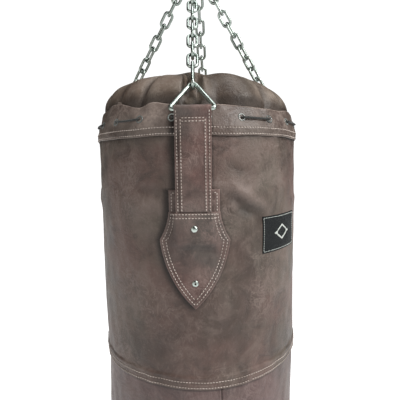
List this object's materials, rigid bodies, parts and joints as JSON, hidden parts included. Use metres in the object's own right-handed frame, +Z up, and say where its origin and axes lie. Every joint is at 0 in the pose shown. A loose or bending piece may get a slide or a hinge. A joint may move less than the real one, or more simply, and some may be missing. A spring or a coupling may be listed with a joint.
{
  "type": "heavy punching bag",
  "caption": "Leather heavy bag hung by four strap loops and chains from a ring and ball-bearing swivel, with laced collar and domed cap.",
  "frame": {"origin": "centre of the swivel's upper eye bore, from which the bag hangs", "axes": "+Z up along the bag's axis, -Y towards the front strap, +X to its right as seen from the front; the eye bore runs along Y"},
  "size_m": [0.3728, 0.3801, 1.5968],
  "materials": {
    "brown_leather": "worn satin",
    "zinc_steel": "bright zinc plated",
    "bearing_steel": "ground",
    "black_eyelet": "satin black",
    "black_cord": "braided",
    "lining": "woven canvas",
    "filling": "packed textile",
    "label_cloth": "woven satin"
  },
  "bodies": {
    "swivel_top": {"swivel_upper_eye": "zinc_steel", "swivel_housing": "zinc_steel", "swivel_housing_cap": "zinc_steel", "bearing_lower_race": "bearing_steel"},
    "ball_set": {"bearing_balls": "bearing_steel"},
    "swivel_bottom": {"swivel_lower_eye": "zinc_steel", "swivel_shank_nut": "zinc_steel", "bearing_upper_race": "bearing_steel"},
    "ring": {"master_ring": "zinc_steel"},
    "bag": {"base_patch_back": "brown_leather", "base_patch_front": "brown_leather", "base_patch_left": "brown_leather", "base_patch_right": "brown_leather", "bottom_disc": "brown_leather", "chain_back": "zinc_steel", "chain_front": "zinc_steel", "chain_left": "zinc_steel", "chain_right": "zinc_steel", "collar_band": "brown_leather", "cover_patch_back": "brown_leather", "cover_patch_front": "brown_leather", "cover_patch_left": "brown_leather", "cover_patch_right": "brown_leather", "drawcord": "black_cord", "drawcord_knot": "black_cord", "eyelet_washers": "black_eyelet", "eyelets": "black_eyelet", "filling_core": "filling", "inner_liner": "lining", "label": "label_cloth", "lower_panel": "brown_leather", "middle_panel": "brown_leather", "rivet_burrs": "zinc_steel", "rivets_domed": "zinc_steel", "rivets_tubular": "zinc_steel", "strap_back": "brown_leather", "strap_facing_back": "brown_leather", "strap_facing_front": "brown_leather", "strap_facing_left": "brown_leather", "strap_facing_right": "brown_leather", "strap_front": "brown_leather", "strap_left": "brown_leather", "strap_right": "brown_leather", "top_cap": "brown_leather", "triangle_ring_back": "zinc_steel", "triangle_ring_front": "zinc_steel", "triangle_ring_left": "zinc_steel", "triangle_ring_right": "zinc_steel", "upper_panel": "brown_leather"}
  },
  "joints": [
    {"name": "swivel_spin", "type": "hinge", "parent": "swivel_top", "child": "swivel_bottom", "pos_m": [0, 0, -0.0379], "axis": [0, 0, 1], "continuous": true},
    {"name": "ball_orbit", "type": "hinge", "parent": "swivel_top", "child": "ball_set", "pos_m": [0, 0, -0.0379], "axis": [0, 0, 1], "continuous": true},
    {"name": "ring_rock", "type": "hinge", "parent": "swivel_bottom", "child": "ring", "pos_m": [0, 0, -0.0777], "axis": [1, 0, 0], "range_deg": [-45, 45]},
    {"name": "bag_swing", "type": "hinge", "parent": "ring", "child": "bag", "pos_m": [0, 0, -0.1067], "axis": [0, 1, 0], "range_deg": [-40, 40]}
  ],
  "couplings": [
    {"joint": "ball_orbit", "follows": "swivel_spin", "ratio": 0.5}
  ]
}
